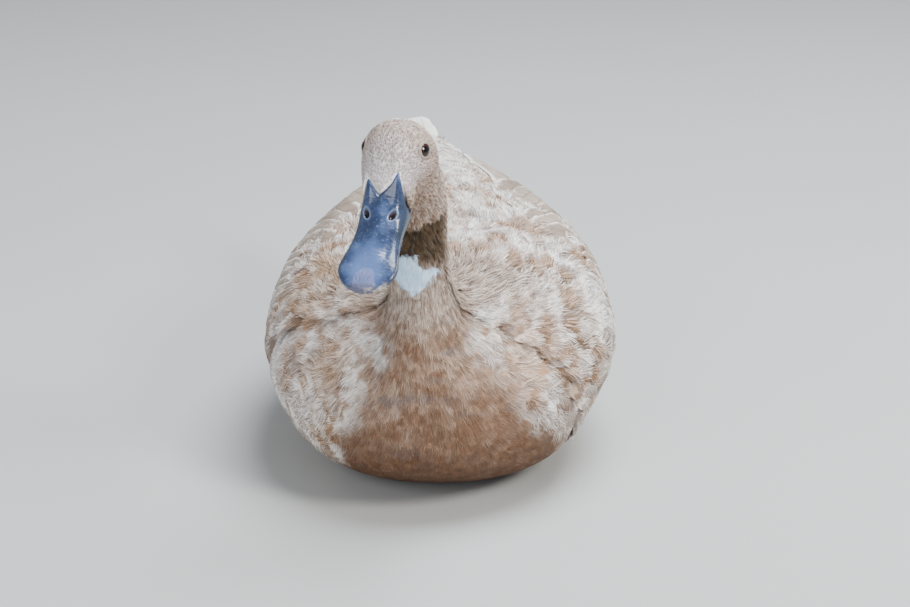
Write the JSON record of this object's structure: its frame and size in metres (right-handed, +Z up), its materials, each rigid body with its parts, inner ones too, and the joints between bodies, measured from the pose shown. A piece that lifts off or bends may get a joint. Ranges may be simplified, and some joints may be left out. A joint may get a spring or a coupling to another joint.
{
  "type": "resting domestic duck",
  "caption": "Life-size still model of a female domestic duck resting on its belly, neck up and head turned, as a museum shows it.",
  "frame": {"origin": "middle of the flat under the belly that the bird rests on, level with the floor", "axes": "+Z up; the bird faces -Y, its tail points along +Y and its left side is +X"},
  "size_m": [0.2204, 0.4729, 0.2394],
  "materials": {
    "fawn_plumage": "matte, soft",
    "rufous_plumage": "matte, soft",
    "pale_plumage": "matte, soft",
    "bill": "satin horn",
    "eye": "wet gloss",
    "leg": "satin"
  },
  "bodies": {
    "root": {"head": "fawn_plumage", "neck": "fawn_plumage", "breast": "rufous_plumage", "trunk": "pale_plumage", "tail": "pale_plumage", "wing_left": "pale_plumage", "wing_right": "pale_plumage", "bill_upper": "bill", "bill_lower": "bill", "eye_left": "eye", "eye_right": "eye", "leg_left": "leg", "leg_right": "leg"}
  },
  "joints": []
}
